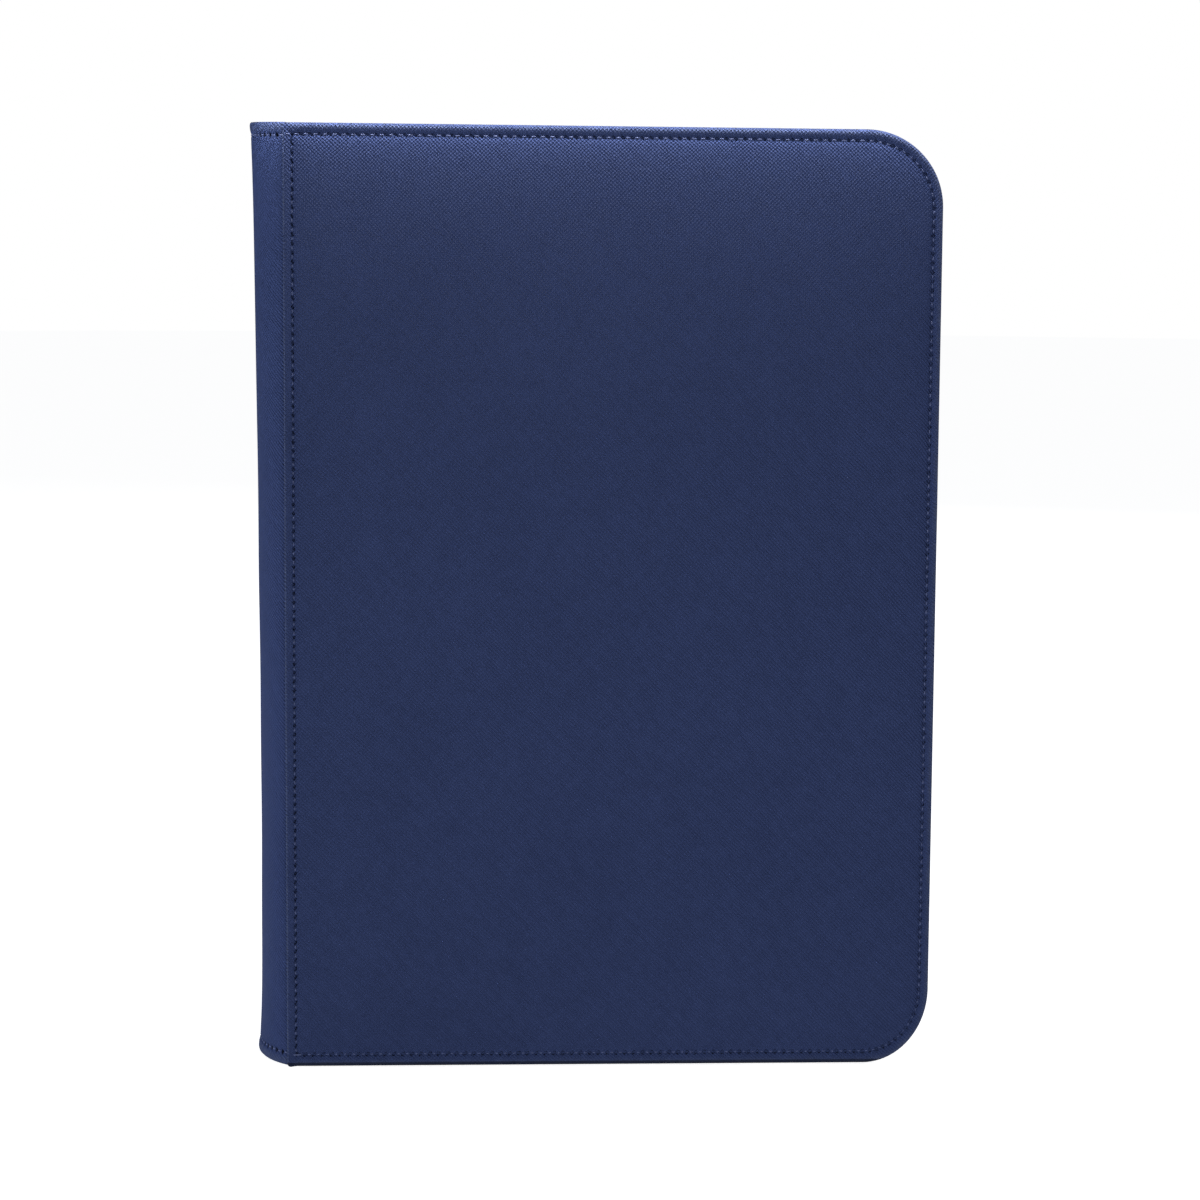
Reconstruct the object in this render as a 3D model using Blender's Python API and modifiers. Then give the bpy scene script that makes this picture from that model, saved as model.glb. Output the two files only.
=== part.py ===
"""A padded zip-round trading card binder with side-loading nine-pocket leaves.

Units are metres and +Z is up. The binder stands closed on the bottom edges of its
covers. The spine is at -X, the fore-edge at +X, and the front cover faces -Y.
Pieces that touch keep a gap of CLEARANCE.
"""

import math

import bmesh
import bpy
from mathutils import Matrix, Vector

# Overall size
HEIGHT = 0.345
THICKNESS = 0.050
COVER_WIDTH = 0.237          # from the seam to the fore-edge
SPINE_BULGE = 0.0125         # how far the spine stands out from the seam
CLEARANCE = 0.0003

# Covers: skin, foam, board and lining, from the outside in
COVER_THICKNESS = 0.005
CORNER_RADIUS = 0.028        # the two fore-edge corners
SPINE_CORNER_RADIUS = 0.0015
SKIN_THICKNESS = 0.0008
SKIN_EDGE_RADIUS = 0.0015
FOAM_THICKNESS = 0.0015
FOAM_EDGE_RADIUS = 0.0006
BOARD_THICKNESS = 0.0012
LINING_THICKNESS = 0.0005

# Spine
SPINE_SKIN_THICKNESS = 0.001
SPINE_STEP = 0.0012          # from the cover's face back to the spine skin at the seam
SPINE_HEM_ARCH = 0.002       # how far each end is drawn in at the middle of the spine
SPINE_PAD_BACK = 0.0012      # the padding's flat back stands this far behind the seam
SPINE_LINING_HALF_WIDTH = 0.021
SPINE_LINING_END_GAP = 0.010

# Leaves and the strip they are welded to
LEAF_COUNT = 20
LEAF_PITCH = 0.0018
LEAF_THICKNESS = 0.0004
LEAF_WIDTH = 0.2145
LEAF_HEIGHT = 0.290
LEAF_CORNER_RADIUS = 0.003
LEAF_ROOT_GAP = 0.0004       # from the strip to the leaf, with the hinge line halfway
STRIP_DEPTH = 0.0084
STRIP_HALF_WIDTH = 0.018
STRIP_EDGE_RADIUS = 0.0008

# Zip: a wall of tape along three sides, with a coil on its free edge
ZIP_RECESS = 0.007           # from the covers' edges to the middle of the tape
TAPE_THICKNESS = 0.0007
TAPE_START = 0.004           # from the seam to the ends of the tape
COIL_START = 0.017           # from the seam to the ends of the coil
COIL_THICKNESS = 0.0022
COIL_INNER = 0.0006          # from the middle plane to the coil
COIL_OUTER = 0.003
STOP_LENGTH = 0.003
END_STOP_END = 0.010         # from the seam to the far side of the end stop
STOP_THICKNESS = 0.0026

# Slider and pull, at the closed end of the top run
SLIDER_X = -0.084
SLIDER_LENGTH = 0.012
SLIDER_WIDTH = 0.009
PLATE_THICKNESS = 0.001
SLIDER_EDGE_RADIUS = 0.0003
POST_LENGTH = 0.006
POST_WIDTH = 0.0006
BRIDGE_LENGTH = 0.008
BRIDGE_WIDTH = 0.0016
BRIDGE_HEIGHT = 0.0028
BRIDGE_BAR = 0.0012
PULL_LENGTH = 0.026
PULL_WIDTH = 0.005
PULL_THICKNESS = 0.001
PULL_ARM_WIDTH = 0.0012
PULL_EYE_LENGTH = 0.0045
PULL_LIFT = 0.0003           # from the slider's top plate to the pull
PULL_TIP_HOLE_RADIUS = 0.0012

# Roundness of arcs
CORNER_STEPS = 10
SPINE_STEPS = 28
SMALL_STEPS = 3
HOLE_STEPS = 16
HEM_STEPS = 128
BEVEL_SEGMENTS = 3
SHARP_EDGE = math.radians(40)
WELD_DISTANCE = 1e-6
FLAT_ANGLE = 1e-3

# Places that follow from the sizes above
HALF_WIDTH = (COVER_WIDTH + SPINE_BULGE) / 2
SEAM_X = SPINE_BULGE - HALF_WIDTH
FORE_X = HALF_WIDTH
HALF_THICKNESS = THICKNESS / 2
HINGE_X = SEAM_X - CLEARANCE / 2
HINGE_Y = HALF_THICKNESS - CLEARANCE
SPINE_ROOT_X = SEAM_X - CLEARANCE
STRIP_BACK_X = SEAM_X - 0.0004
STRIP_FRONT_X = STRIP_BACK_X + STRIP_DEPTH
LEAF_HINGE_X = STRIP_FRONT_X + LEAF_ROOT_GAP / 2
LEAF_BOTTOM = (HEIGHT - LEAF_HEIGHT) / 2
TAPE_OUTER = HALF_THICKNESS - COVER_THICKNESS - CLEARANCE
TAPE_INNER = COIL_OUTER + CLEARANCE
ZIP_TOP_Z = HEIGHT - ZIP_RECESS
PLATE_GAP = COIL_THICKNESS + 2 * CLEARANCE

FRONT, BACK = -1, 1          # the side of the middle plane, along Y
UPRIGHT = (math.pi / 2, 0, 0)  # turns an outline drawn in XY to stand in XZ


def clear_scene():
    """Remove every object that the file holds."""
    for old in list(bpy.data.objects):
        bpy.data.objects.remove(old, do_unlink=True)


def new_collection(name):
    """Add a collection to the scene."""
    collection = bpy.data.collections.new(name)
    bpy.context.scene.collection.children.link(collection)
    return collection


def new_material(name, colour, roughness, metallic=0.0):
    """A Principled material with the given linear colour."""
    material = bpy.data.materials.new(name)
    material.use_nodes = True
    shader = material.node_tree.nodes["Principled BSDF"]
    shader.inputs["Base Color"].default_value = (*colour, 1)
    shader.inputs["Roughness"].default_value = roughness
    shader.inputs["Metallic"].default_value = metallic
    return material


def arc(centre, radius, start, end, steps):
    """Points along an arc, with angles in degrees."""
    points = []
    for step in range(steps + 1):
        angle = math.radians(start + (end - start) * step / steps)
        x = centre[0] + radius * math.cos(angle)
        y = centre[1] + radius * math.sin(angle)
        points.append((x, y))
    return points


def mesh_object(name, mesh, collection, matrix=Matrix()):
    """Link a mesh as a new object."""
    obj = bpy.data.objects.new(name, mesh)
    collection.objects.link(obj)
    obj.matrix_world = matrix
    return obj


def outline_solid(name, outlines, thickness, collection, location=(0, 0, 0), rotation=(0, 0, 0)):
    """A flat outline with thickness, as a closed mesh. Later outlines are holes."""
    curve = bpy.data.curves.new(name + "_outline", "CURVE")
    curve.dimensions = "2D"
    curve.fill_mode = "BOTH"
    curve.extrude = thickness / 2
    for outline in outlines:
        spline = curve.splines.new("POLY")
        spline.points.add(len(outline) - 1)
        for point, (x, y) in zip(spline.points, outline):
            point.co = (x, y, 0, 1)
        spline.use_cyclic_u = True
    drawn = bpy.data.objects.new(name + "_outline", curve)
    drawn.location = location
    drawn.rotation_euler = rotation
    collection.objects.link(drawn)
    bpy.context.view_layer.update()
    evaluated = drawn.evaluated_get(bpy.context.evaluated_depsgraph_get())
    mesh = bpy.data.meshes.new_from_object(evaluated)
    mesh.name = name
    weld_caps(mesh)
    matrix = drawn.matrix_world.copy()
    bpy.data.objects.remove(drawn, do_unlink=True)
    return mesh_object(name, mesh, collection, matrix)


def weld_caps(mesh):
    """Join a filled curve's loose caps to its sides, and make each flat face one face."""
    shape = bmesh.new()
    shape.from_mesh(mesh)
    bmesh.ops.remove_doubles(shape, verts=shape.verts, dist=WELD_DISTANCE)
    bmesh.ops.dissolve_limit(
        shape, angle_limit=FLAT_ANGLE, verts=shape.verts, edges=shape.edges)
    shape.to_mesh(mesh)
    shape.free()


def box_solid(name, low, high, collection):
    """A box between two corners, with its scale applied."""
    shape = bmesh.new()
    bmesh.ops.create_cube(shape, size=1)
    size = Vector(high) - Vector(low)
    middle = (Vector(high) + Vector(low)) / 2
    bmesh.ops.transform(shape, matrix=Matrix.Diagonal((*size, 1)), verts=shape.verts)
    mesh = bpy.data.meshes.new(name)
    shape.to_mesh(mesh)
    shape.free()
    return mesh_object(name, mesh, collection, Matrix.Translation(middle))


def make_cutter(obj):
    """Show an object as a wire guide that isn't part of the binder."""
    obj.hide_render = True
    obj.display_type = "WIRE"
    return obj


def add_boolean(obj, operation, other):
    """Cut or join with another object."""
    modifier = obj.modifiers.new(operation.lower() + "_" + other.name, "BOOLEAN")
    modifier.operation = operation
    modifier.solver = "EXACT"
    modifier.object = other


def add_bevel(obj, width, method="ANGLE"):
    """Round the sharp edges, or only the marked ones."""
    modifier = obj.modifiers.new("rounded_edges", "BEVEL")
    modifier.width = width
    modifier.segments = BEVEL_SEGMENTS
    modifier.limit_method = method
    modifier.use_clamp_overlap = True


def mark_rim(obj, level):
    """Mark the sharp edges that lie at one local height, for a bevel."""
    shape = bmesh.new()
    shape.from_mesh(obj.data)
    layer = shape.edges.layers.float.new("bevel_weight_edge")
    for edge in shape.edges:
        on_level = all(abs(vertex.co.z - level) < CLEARANCE / 2 for vertex in edge.verts)
        if on_level and edge.calc_face_angle(0) > SHARP_EDGE:
            edge[layer] = 1
    shape.to_mesh(obj.data)
    shape.free()


def finish(obj, material, hinge=None, smooth=False):
    """Give a piece its material, its shading and the empty that carries it."""
    obj.data.materials.clear()
    obj.data.materials.append(material)
    if smooth:
        obj.data.shade_smooth()
        obj.data.set_sharp_from_angle(angle=SHARP_EDGE)
    if hinge is not None:
        obj.parent = hinge
        obj.matrix_parent_inverse = Matrix.Translation(-hinge.location)
    return obj


def hinge_empty(name, location, collection, parent=None):
    """An empty on a joint's axis, which carries a moving body's pieces."""
    empty = bpy.data.objects.new(name, None)
    empty.empty_display_size = 0.01
    empty.location = location
    collection.objects.link(empty)
    if parent is not None:
        empty.parent = parent
        empty.matrix_parent_inverse = Matrix.Translation(-parent.location)
    return empty


def side_name(side):
    """The word that starts the names of one cover's pieces."""
    return "front" if side == FRONT else "back"


# Covers

def cover_outline(inset):
    """A cover's outline, drawn inwards by inset: square at the spine, round at the fore-edge."""
    left, right = SEAM_X + inset, FORE_X - inset
    low, high = inset, HEIGHT - inset
    fore = CORNER_RADIUS - inset
    square = max(SPINE_CORNER_RADIUS - inset, CLEARANCE)
    points = arc((right - fore, low + fore), fore, -90, 0, CORNER_STEPS)
    points += arc((right - fore, high - fore), fore, 0, 90, CORNER_STEPS)
    points += arc((left + square, high - square), square, 90, 180, SMALL_STEPS)
    points += arc((left + square, low + square), square, 180, 270, SMALL_STEPS)
    return points


def cover_layer(name, inset, outer, thickness, side, collection):
    """One flat layer of a cover, its outer face at the distance outer from the middle plane."""
    location = (0, side * (outer - thickness / 2), 0)
    return outline_solid(name, [cover_outline(inset)], thickness, collection, location, UPRIGHT)


def make_skin(side, parts, cutters, material, hinge):
    """The leather: a flat face with walls that wrap round the other layers."""
    name = side_name(side) + "_cover_skin"
    skin = cover_layer(name, 0, HALF_THICKNESS, COVER_THICKNESS, side, parts)
    mark_rim(skin, -side * COVER_THICKNESS / 2)
    add_bevel(skin, SKIN_EDGE_RADIUS, "WEIGHT")
    floor = HALF_THICKNESS - SKIN_THICKNESS
    depth = COVER_THICKNESS
    hollow = cover_layer(name + "_hollow", SKIN_THICKNESS, floor, depth, side, cutters)
    add_boolean(skin, "DIFFERENCE", make_cutter(hollow))
    return finish(skin, material, hinge, smooth=True)


def make_cover(side, parts, cutters, materials, hinge):
    """The skin, foam pad, board and lining of one cover."""
    make_skin(side, parts, cutters, materials["leather"], hinge)
    prefix = side_name(side)
    inset = SKIN_THICKNESS + CLEARANCE
    level = HALF_THICKNESS - SKIN_THICKNESS - CLEARANCE
    pad = cover_layer(prefix + "_foam_pad", inset, level, FOAM_THICKNESS, side, parts)
    add_bevel(pad, FOAM_EDGE_RADIUS)
    finish(pad, materials["foam"], hinge, smooth=True)
    level -= FOAM_THICKNESS + CLEARANCE
    board = cover_layer(prefix + "_board", inset, level, BOARD_THICKNESS, side, parts)
    finish(board, materials["board"], hinge)
    level -= BOARD_THICKNESS + CLEARANCE
    lining = cover_layer(prefix + "_lining", inset, level, LINING_THICKNESS, side, parts)
    finish(lining, materials["lining"], hinge)


# Spine

def spine_section(half_width, bulge, back=0):
    """Points round the spine's half-oval section, up to the distance back from its ends."""
    limit = math.acos(back / bulge)
    points = []
    for step in range(SPINE_STEPS + 1):
        angle = limit * (2 * step / SPINE_STEPS - 1)
        x = SPINE_ROOT_X - bulge * math.cos(angle)
        points.append((x, half_width * math.sin(angle)))
    return points


def make_spine_ends(cutters):
    """Two cylinders across the spine, which draw its hems in between the covers."""
    radius = (HALF_THICKNESS ** 2 + SPINE_HEM_ARCH ** 2) / (2 * SPINE_HEM_ARCH)
    ends = []
    for name, level, direction in (("top", HEIGHT, 1), ("bottom", 0, -1)):
        shape = bmesh.new()
        bmesh.ops.create_cone(
            shape, cap_ends=True, segments=HEM_STEPS,
            radius1=radius, radius2=radius, depth=4 * SPINE_BULGE)
        mesh = bpy.data.meshes.new("spine_hem_" + name)
        shape.to_mesh(mesh)
        shape.free()
        height = level + direction * (radius - SPINE_HEM_ARCH)
        turn = Matrix.Rotation(math.pi / 2, 4, "Y")
        place = Matrix.Translation((SPINE_ROOT_X, 0, height)) @ turn
        ends.append(make_cutter(mesh_object("spine_hem_" + name, mesh, cutters, place)))
    return ends


def make_spine(parts, cutters, materials):
    """The skin, padding and lining of the spine."""
    ends = make_spine_ends(cutters)
    middle = (0, 0, HEIGHT / 2)
    half_width = HALF_THICKNESS - SPINE_STEP
    bulge = SPINE_BULGE - CLEARANCE
    outside = spine_section(half_width, bulge)
    half_width -= SPINE_SKIN_THICKNESS
    bulge -= SPINE_SKIN_THICKNESS
    inside = spine_section(half_width, bulge)
    skin = outline_solid("spine_skin", [outside + inside[::-1]], HEIGHT, parts, middle)
    finish(skin, materials["leather"], smooth=True)
    half_width -= CLEARANCE
    bulge -= CLEARANCE
    section = spine_section(half_width, bulge, SPINE_PAD_BACK)
    padding = outline_solid("spine_padding", [section], HEIGHT, parts, middle)
    finish(padding, materials["foam"], smooth=True)
    for piece in (skin, padding):
        for end in ends:
            add_boolean(piece, "DIFFERENCE", end)
    back = SPINE_ROOT_X - SPINE_PAD_BACK + CLEARANCE
    low = (back, -SPINE_LINING_HALF_WIDTH, SPINE_LINING_END_GAP)
    high = (back + LINING_THICKNESS, SPINE_LINING_HALF_WIDTH, HEIGHT - SPINE_LINING_END_GAP)
    finish(box_solid("spine_lining", low, high, parts), materials["lining"])


# Leaves

def make_binding_strip(parts, materials):
    """The plastic strip down the inside of the spine, to which the leaves are welded."""
    low = (STRIP_BACK_X, -STRIP_HALF_WIDTH, LEAF_BOTTOM)
    high = (STRIP_FRONT_X, STRIP_HALF_WIDTH, LEAF_BOTTOM + LEAF_HEIGHT)
    strip = box_solid("leaf_binding_strip", low, high, parts)
    add_bevel(strip, STRIP_EDGE_RADIUS)
    finish(strip, materials["strip"])


def make_leaves(parts, materials):
    """Each leaf is a thin plate with two round corners, hinged along its root."""
    left = LEAF_ROOT_GAP / 2
    right = left + LEAF_WIDTH
    radius = LEAF_CORNER_RADIUS
    outline = [(left, LEAF_HEIGHT), (left, 0)]
    outline += arc((right - radius, radius), radius, -90, 0, SMALL_STEPS)
    outline += arc((right - radius, LEAF_HEIGHT - radius), radius, 0, 90, SMALL_STEPS)
    for number in range(LEAF_COUNT):
        depth = (number - (LEAF_COUNT - 1) / 2) * LEAF_PITCH
        place = (LEAF_HINGE_X, depth, LEAF_BOTTOM)
        name = f"leaf_{number + 1:02d}"
        leaf = outline_solid(name, [outline], LEAF_THICKNESS, parts, place, UPRIGHT)
        finish(leaf, materials["leaf"])


# Zip

def zip_path(recess, start):
    """A path inside the covers' edge: along the top, down the fore-edge and back below."""
    radius = CORNER_RADIUS - recess
    right = FORE_X - recess
    high, low = HEIGHT - recess, recess
    points = [(SEAM_X + start, high)]
    points += arc((right - radius, high - radius), radius, 90, 0, CORNER_STEPS)
    points += arc((right - radius, low + radius), radius, 0, -90, CORNER_STEPS)
    points.append((SEAM_X + start, low))
    return points


def zip_band(name, thickness, start, inner, outer, side, parts):
    """A band along the zip's path, between two distances from the middle plane."""
    outside = zip_path(ZIP_RECESS - thickness / 2, start)
    inside = zip_path(ZIP_RECESS + thickness / 2, start)
    location = (0, side * (inner + outer) / 2, 0)
    outline = outside + inside[::-1]
    return outline_solid(name, [outline], outer - inner, parts, location, UPRIGHT)


def stop_block(name, end, level, near, far, parts):
    """A small metal stop that ends at a distance from the seam, between two places along Y."""
    right = SEAM_X + end
    low = (right - STOP_LENGTH, near, level - STOP_THICKNESS / 2)
    high = (right, far, level + STOP_THICKNESS / 2)
    block = box_solid(name, low, high, parts)
    add_bevel(block, SLIDER_EDGE_RADIUS)
    return block


def make_zip_half(side, parts, materials, hinge):
    """One cover's tape and coil, and the stop at the coil's closed end."""
    prefix = side_name(side)
    tape = zip_band(prefix + "_zip_tape", TAPE_THICKNESS, TAPE_START,
                    TAPE_INNER, TAPE_OUTER, side, parts)
    finish(tape, materials["tape"], hinge, smooth=True)
    coil = zip_band(prefix + "_zip_coil", COIL_THICKNESS, COIL_START,
                    COIL_INNER, COIL_OUTER, side, parts)
    finish(coil, materials["coil"], hinge, smooth=True)
    near, far = sorted((side * COIL_INNER, side * COIL_OUTER))
    end = COIL_START - CLEARANCE
    stop = stop_block(prefix + "_zip_top_stop", end, ZIP_TOP_Z, near, far, parts)
    finish(stop, materials["metal"], hinge)


def make_end_stop(parts, materials, hinge):
    """The stop across both coils at the open end of the zip."""
    name = "zip_end_stop"
    stop = stop_block(name, END_STOP_END, ZIP_RECESS, -COIL_OUTER, COIL_OUTER, parts)
    finish(stop, materials["metal"], hinge)


def make_slider(parts, cutters, materials, hinge):
    """Two plates joined by a thin post, with a bridge on top that holds the pull."""
    half_length, half_width = SLIDER_LENGTH / 2, SLIDER_WIDTH / 2
    left, right = SLIDER_X - half_length, SLIDER_X + half_length
    inner = PLATE_GAP / 2
    outer = inner + PLATE_THICKNESS
    slider = box_solid("zip_slider", (left, -half_width, ZIP_TOP_Z + inner),
                       (right, half_width, ZIP_TOP_Z + outer), parts)
    lower = box_solid("slider_lower_plate", (left, -half_width, ZIP_TOP_Z - outer),
                      (right, half_width, ZIP_TOP_Z - inner), cutters)
    for plate in (slider, lower):
        add_bevel(plate, SLIDER_EDGE_RADIUS)
    reach = inner + PLATE_THICKNESS / 2
    post = box_solid("slider_post",
                     (SLIDER_X - POST_LENGTH / 2, -POST_WIDTH / 2, ZIP_TOP_Z - reach),
                     (SLIDER_X + POST_LENGTH / 2, POST_WIDTH / 2, ZIP_TOP_Z + reach), cutters)
    foot = -PLATE_THICKNESS / 2
    half = BRIDGE_LENGTH / 2
    side_view = [(-half, foot), (half, foot), (half, BRIDGE_HEIGHT), (-half, BRIDGE_HEIGHT)]
    bend = half - BRIDGE_BAR
    under = BRIDGE_HEIGHT - BRIDGE_BAR
    side_view[1:1] = [(-bend, foot), (-bend, under), (bend, under), (bend, foot)]
    bridge = outline_solid("slider_bridge", [side_view], BRIDGE_WIDTH, cutters,
                           (SLIDER_X, 0, ZIP_TOP_Z + outer), UPRIGHT)
    for piece in (post, bridge, lower):
        add_boolean(slider, "UNION", make_cutter(piece))
    finish(slider, materials["metal"], hinge)


def make_pull(parts, materials, hinge):
    """A flat tab with an eye, whose end bar turns under the slider's bridge."""
    half = PULL_WIDTH / 2
    bar = PULL_THICKNESS / 2
    tip = PULL_LENGTH - half
    outline = [(-bar, half), (-bar, -half)] + arc((tip, 0), half, -90, 90, HOLE_STEPS // 2)
    arm = half - PULL_ARM_WIDTH
    eye = [(bar, -arm), (bar + PULL_EYE_LENGTH, -arm), (bar + PULL_EYE_LENGTH, arm), (bar, arm)]
    hole = arc((tip, 0), PULL_TIP_HOLE_RADIUS, 0, 360 - 360 / HOLE_STEPS, HOLE_STEPS - 1)
    pull = outline_solid("zip_pull", [outline, eye, hole], PULL_THICKNESS, parts, hinge.location)
    finish(pull, materials["metal"], hinge)


def build():
    """Make the binder."""
    clear_scene()
    parts = new_collection("trading_card_binder")
    cutters = new_collection("cutters")
    materials = {
        "leather": new_material("navy_leather", (0.026, 0.036, 0.085), 0.5),
        "foam": new_material("grey_foam", (0.25, 0.25, 0.26), 0.95),
        "board": new_material("grey_board", (0.30, 0.28, 0.25), 0.9),
        "lining": new_material("black_lining", (0.012, 0.013, 0.018), 0.9),
        "strip": new_material("black_strip", (0.015, 0.015, 0.017), 0.5),
        "leaf": new_material("leaf_film", (0.05, 0.05, 0.055), 0.25),
        "tape": new_material("navy_tape", (0.014, 0.018, 0.04), 0.9),
        "coil": new_material("navy_coil", (0.016, 0.02, 0.045), 0.4),
        "metal": new_material("dark_metal", (0.10, 0.10, 0.11), 0.35, 1.0),
    }
    hinges = {}
    for side in (FRONT, BACK):
        place = (HINGE_X, side * HINGE_Y, 0)
        hinges[side] = hinge_empty(side_name(side) + "_cover_hinge", place, parts)
        make_cover(side, parts, cutters, materials, hinges[side])
        make_zip_half(side, parts, materials, hinges[side])
    make_end_stop(parts, materials, hinges[BACK])
    make_spine(parts, cutters, materials)
    make_binding_strip(parts, materials)
    make_leaves(parts, materials)
    slider_place = (SLIDER_X, 0, ZIP_TOP_Z)
    slider_hinge = hinge_empty("zip_slider_place", slider_place, parts, hinges[BACK])
    make_slider(parts, cutters, materials, slider_hinge)
    axis_height = ZIP_TOP_Z + PLATE_GAP / 2 + PLATE_THICKNESS + PULL_LIFT + PULL_THICKNESS / 2
    pull_hinge = hinge_empty("zip_pull_hinge", (SLIDER_X, 0, axis_height), parts, slider_hinge)
    make_pull(parts, materials, pull_hinge)


build()
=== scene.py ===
import math

import bmesh
import bpy
import numpy as np
from mathutils import Matrix, Vector, geometry, noise


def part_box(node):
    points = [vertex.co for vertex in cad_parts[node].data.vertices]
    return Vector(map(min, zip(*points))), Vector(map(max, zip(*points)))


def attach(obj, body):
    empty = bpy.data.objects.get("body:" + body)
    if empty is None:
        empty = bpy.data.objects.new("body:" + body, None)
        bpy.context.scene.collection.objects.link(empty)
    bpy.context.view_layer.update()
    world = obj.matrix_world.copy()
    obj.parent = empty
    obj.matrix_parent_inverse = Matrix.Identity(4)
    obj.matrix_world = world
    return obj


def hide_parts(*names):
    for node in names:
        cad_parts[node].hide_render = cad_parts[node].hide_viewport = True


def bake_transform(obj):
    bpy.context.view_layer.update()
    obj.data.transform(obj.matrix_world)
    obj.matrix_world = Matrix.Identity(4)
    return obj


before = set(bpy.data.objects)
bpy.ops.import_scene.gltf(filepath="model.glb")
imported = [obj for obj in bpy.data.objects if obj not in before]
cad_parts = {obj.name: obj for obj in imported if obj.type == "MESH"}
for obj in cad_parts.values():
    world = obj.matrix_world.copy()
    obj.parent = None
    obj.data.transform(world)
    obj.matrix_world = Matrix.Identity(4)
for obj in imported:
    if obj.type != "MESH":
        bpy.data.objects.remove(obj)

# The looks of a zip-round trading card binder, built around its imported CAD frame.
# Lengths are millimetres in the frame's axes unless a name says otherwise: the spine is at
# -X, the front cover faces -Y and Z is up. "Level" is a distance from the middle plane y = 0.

MM = 0.001
FRONT, BACK = -1, 1
SHARP_ANGLE = 50             # degrees between faces from which an edge is drawn sharp
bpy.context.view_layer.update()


def node_box(name):
    """The corners of a CAD node in millimetres."""
    low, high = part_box(name)
    return np.array(low) / MM, np.array(high) / MM


# The covers' outline: places that come from the frame, and what is added to them

SKIN_LOW, SKIN_HIGH = node_box("back_cover_skin")
OVERHANG = 0.2               # how far the padded leather stands out past its CAD solid
SEAM_X, FORE_X, HEIGHT = SKIN_LOW[0], SKIN_HIGH[0], SKIN_HIGH[2]
FOLD_X, EDGE_X = SEAM_X - OVERHANG, FORE_X + OVERHANG
FACE_LEVEL = SKIN_HIGH[1]
LINING_LEVEL = node_box("back_lining")[0][1]
CORNER_RADIUS = 28.0
LOW_CORNER_WIDTH = 24.0      # the bottom corner is a little tighter across than up
TOP_FALL = 1.1               # how far the top edge drops on its way to the fore-edge
SPINE_CORNER_RADIUS = 1.2

# Stitching: the inset, its scale on each side, and the stitches along each side

STITCH_INSET = 3.5
TOP_SCALE, FORE_SCALE, BOTTOM_SCALE, SEAM_SCALE = 1.15, 1.0, 1.32, 0.92
TOP_STITCHES, CORNER_STITCHES, FORE_STITCHES = 61, 12, 87
BOTTOM_STITCHES, SEAM_STITCHES = 64, 104
STITCH_STEPS = (0.0, 0.1, 0.2, 0.5, 0.8, 0.9)
STITCH_PITCH = 3.4           # the usual gap, near enough to draw a hole's width
HOLE_RADIUS = 0.55
SPINE_CORNER_STEPS = 3
THREAD_RADIUS = 0.27
TUBE_SIDES = 6
STITCH_DIVE = 0.45           # how far the ends of a stitch sink below its middle
HOLE_DEPTH = 0.45
BASE_SHADE = 0.55                 # how dark the painted shade is along the edge that the binder stands on
BASE_SHADE_HEIGHT = 2.1

# How far each row's thread stands out, and how much of the way between holes it shows

TOP_THREAD, CORNER_THREAD, FORE_THREAD = (0.05, 0.52), (0.0, 0.4), (0.06, 0.36)
BOTTOM_THREAD, SEAM_THREAD = (-0.14, 0.4), (0.0, 0.34)

# Cover profiles: (inset, level), from the hollow's roof out over the edge to the panel

EDGE_PROFILE = (
    (8.0, 24.15), (1.7, 24.1), (1.4, 23.4), (1.4, 20.6), (1.2, 20.06), (0.6, 19.98),
    (0.15, 20.2), (-0.04, 21.2), (-0.06, 22.7), (0.05, 23.6), (0.28, 24.35), (0.62, 24.82),
    (1.05, 25.0), (1.7, 24.94), (2.7, 24.68), (3.1, 24.5), (3.5, 24.38), (3.8, 24.46),
    (4.1, 24.56), (4.9, 24.78))
FOLD_PROFILE = (
    (8.0, 24.15), (1.7, 24.13), (1.3, 24.12), (0.95, 24.11), (0.8, 24.1), (0.6, 24.1),
    (0.4, 24.1), (0.2, 24.12), (0.05, 24.22), (0.0, 24.45), (0.08, 24.75), (0.4, 24.99),
    (1.2, 25.06), (2.2, 24.97), (2.9, 24.78), (3.2, 24.62), (3.5, 24.5), (3.8, 24.6),
    (4.1, 24.72), (4.9, 24.9))
PROFILE_SUBSTEPS = 2
FACE_INSETS = (5.8, 7.0, 8.6, 10.8, 13.5, 17.0)
PANEL_CROWN = 0.35
CROWN_FLATNESS = 0.4
SLOW_UNEVENNESS, QUICK_UNEVENNESS = 0.16, 0.045
PAD_REACH = 3.0              # how quickly the padding rises beyond the stitching
FACE_GRID = 5.0
FOLD_REACH = (1.0, 4.0)
HOLE_BAND = (2, 6)           # the insets between which the stitch holes dent the leather
RIM_LEVEL, RIM_PUCKER = 24.3, 0.06

# Spine

SPINE_BULGE, SPINE_UPPER_SWELL = 10.2, 2.0
SPINE_TOP_FLARE, SPINE_BOTTOM_FLARE = 0.7, 1.7
SPINE_SAG = 0.22
SPINE_ROOT = 3.0             # the oval's widest line, inboard of the seam
SPINE_HALF_WIDTH = 24.2
SPINE_TUCK = 0.75            # how far the strip runs in under each cover's fold
SPINE_LEATHER = 0.9
SPINE_TOP_ARCH, SPINE_BOTTOM_ARCH = -0.1, 1.3
SPINE_HEM_STITCHES = 19

LEAF_COUNT = 20


# Mesh helpers

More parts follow.
